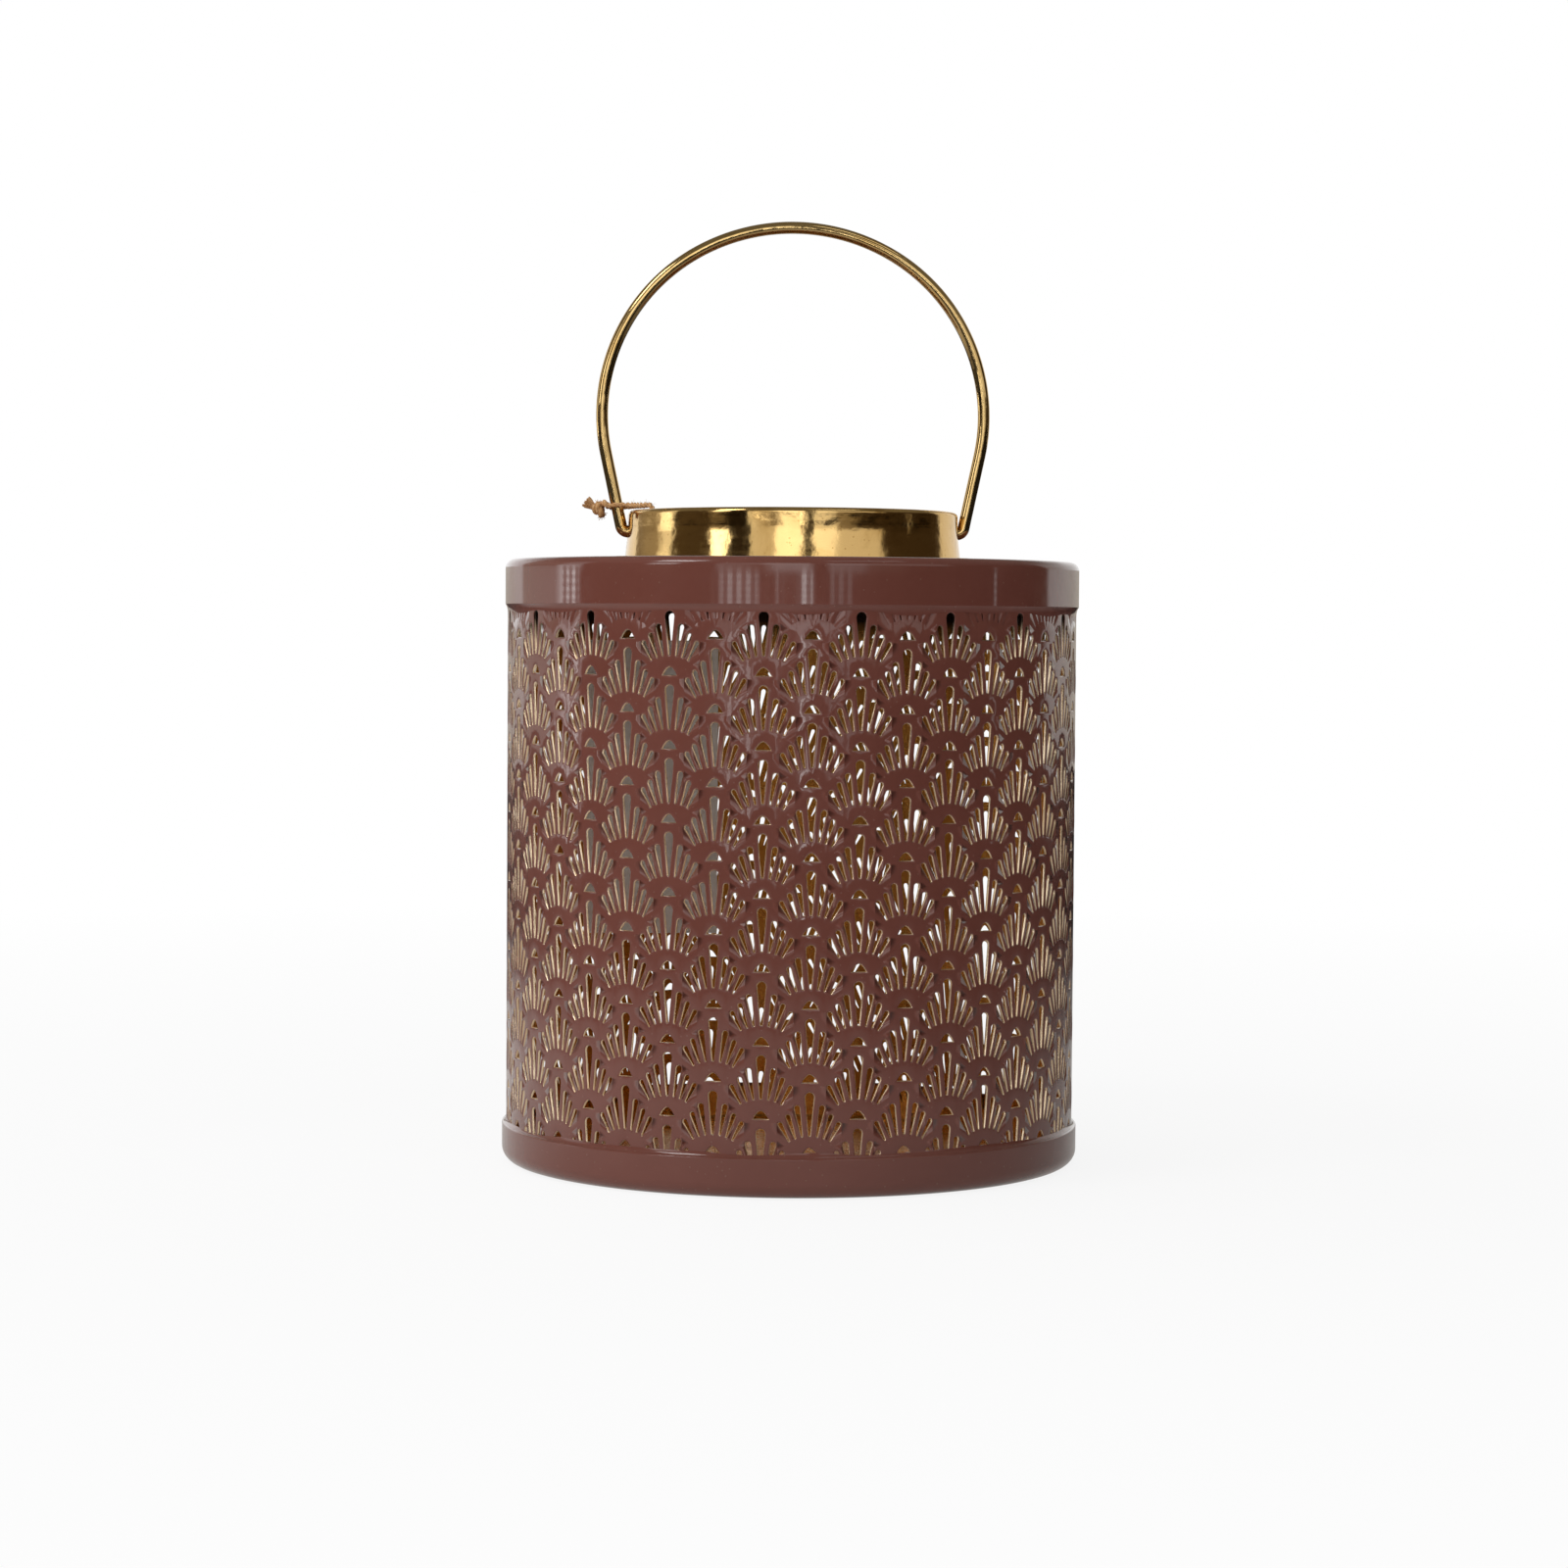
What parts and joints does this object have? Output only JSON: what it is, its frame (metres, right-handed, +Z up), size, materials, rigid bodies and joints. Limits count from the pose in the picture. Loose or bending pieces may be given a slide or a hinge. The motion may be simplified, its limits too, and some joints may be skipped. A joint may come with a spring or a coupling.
{
  "type": "lantern",
  "caption": "Round punched tin lantern with an open neck, a pan foot, a swinging wire bail and a blank swing tag on twine.",
  "frame": {"origin": "on the floor at the centre of the round lantern", "axes": "+Z up, X along the bail's pivot axis with the twine at -X, -Y towards the viewer of the picture, the plain strip with the seam near +X"},
  "size_m": [0.1674, 0.1674, 0.2724],
  "materials": {
    "enamel": "glossy plum-brown enamel outside, gold lacquer inside",
    "brass_plate": "polished brass plate",
    "twine": "two-ply jute twine",
    "card": "uncoated white card"
  },
  "bodies": {
    "root": {"base_pan": "enamel", "body_shell": "enamel", "top_cap": "enamel", "collar": "brass_plate", "twine_outer": "twine"},
    "bail": {"bail_handle": "brass_plate", "twine_knot": "twine"},
    "tag": {"twine_inner": "twine", "hang_tag": "card"}
  },
  "joints": [
    {"name": "bail_swing", "type": "hinge", "parent": "root", "child": "bail", "pos_m": [0, 0, 0.1824], "axis": [1, 0, 0], "range_deg": [-94, 94], "deforming": ["twine_outer"]},
    {"name": "tag_swing", "type": "hinge", "parent": "root", "child": "tag", "pos_m": [-0.0412, -0.0154, 0.1874], "axis": [0, 1, 0], "range_deg": [-20, 8]}
  ]
}
